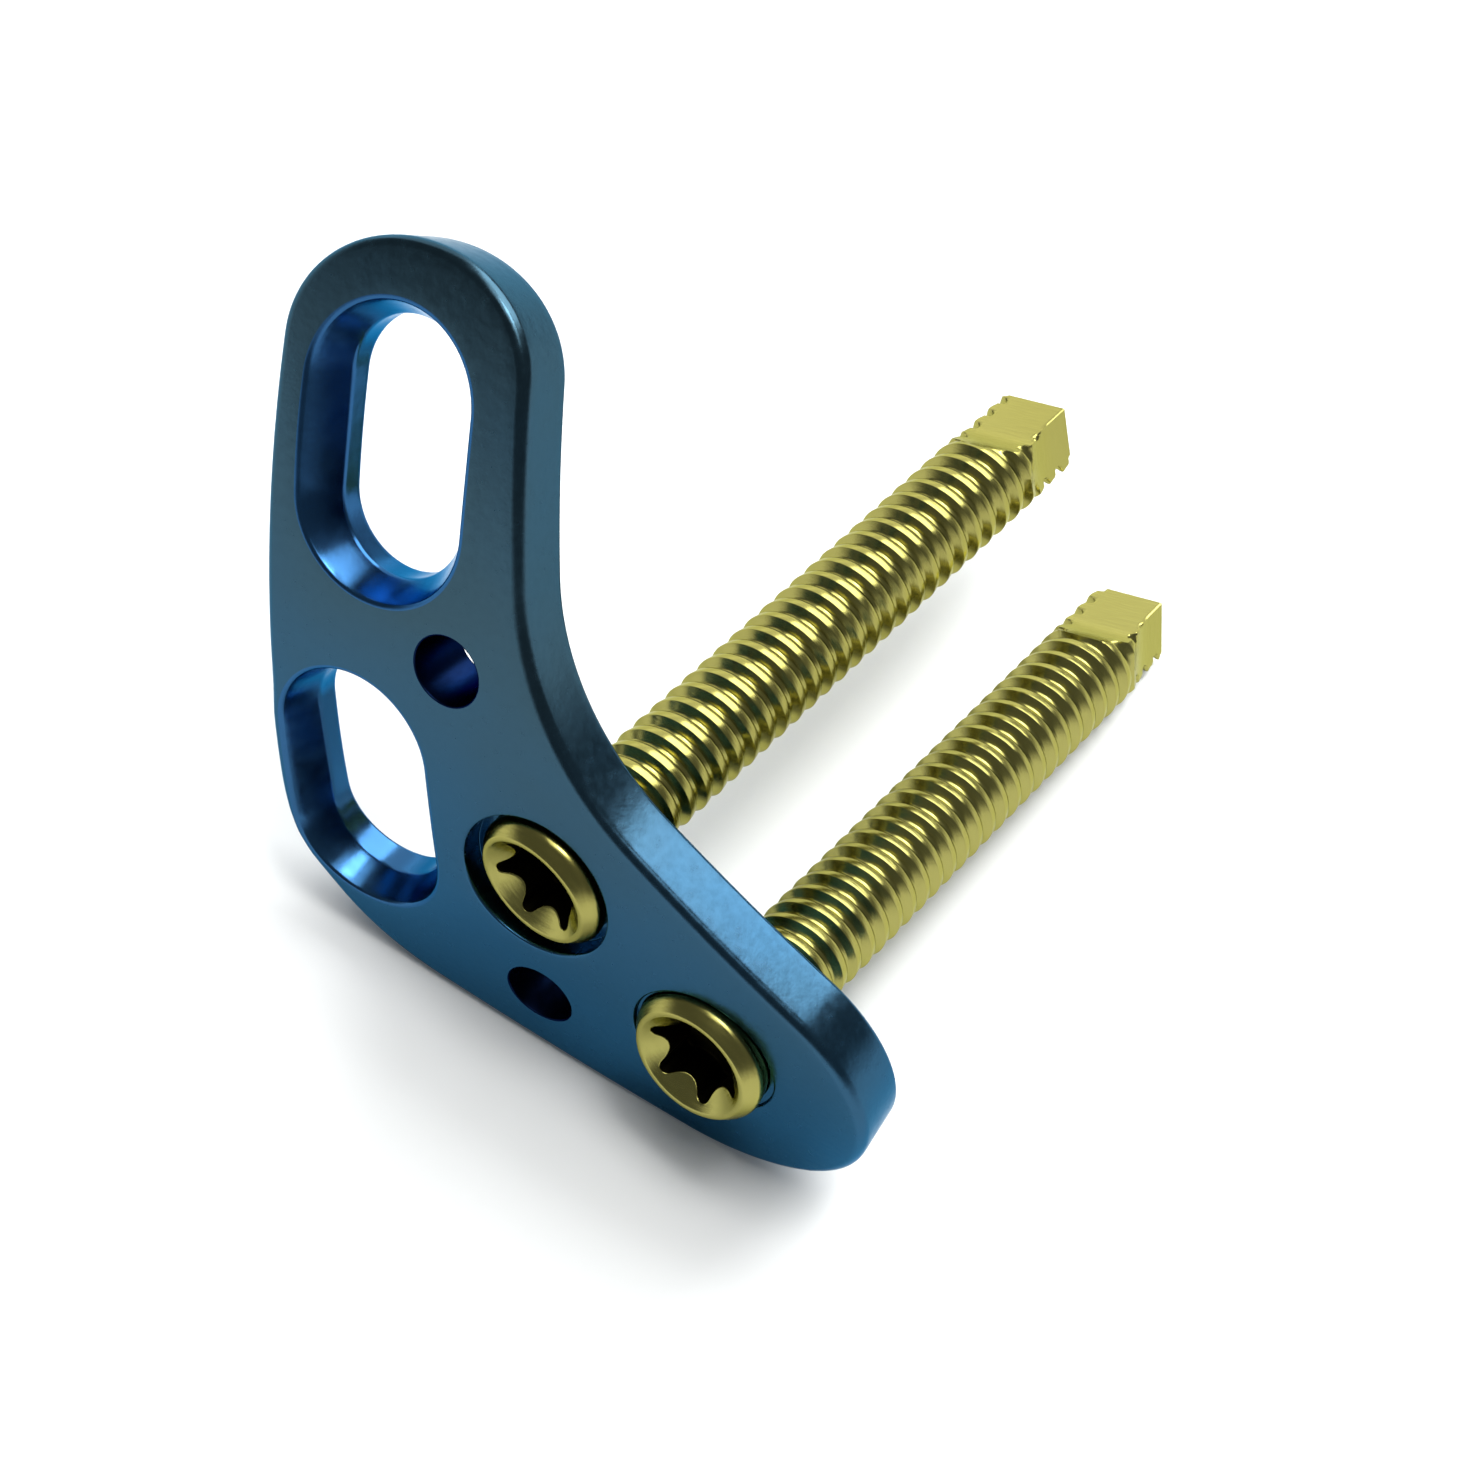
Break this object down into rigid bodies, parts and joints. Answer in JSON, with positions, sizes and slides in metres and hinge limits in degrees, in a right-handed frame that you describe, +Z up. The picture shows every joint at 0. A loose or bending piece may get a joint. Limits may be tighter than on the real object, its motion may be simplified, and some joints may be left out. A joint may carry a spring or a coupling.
{
  "type": "orthopedic bone plate",
  "caption": "Bent L-shaped bone plate with flared slots, wire holes and locking screws seated at diverging angles, resting on its lower edge and a screw tip.",
  "frame": {"origin": "bottom centre of the bounding box, as the part rests on a flat surface", "axes": "+Z up, +X along the plate's lower edge towards its foot end, +Y from the plate's front face towards the screw tips"},
  "size_m": [0.0282, 0.029, 0.0225],
  "materials": {
    "plate_anodised": "satin blue anodised titanium",
    "screw_anodised": "satin gold anodised titanium"
  },
  "bodies": {
    "root": {"bone_plate": "plate_anodised", "locking_screw_upper": "screw_anodised", "locking_screw_lower": "screw_anodised"}
  },
  "joints": []
}
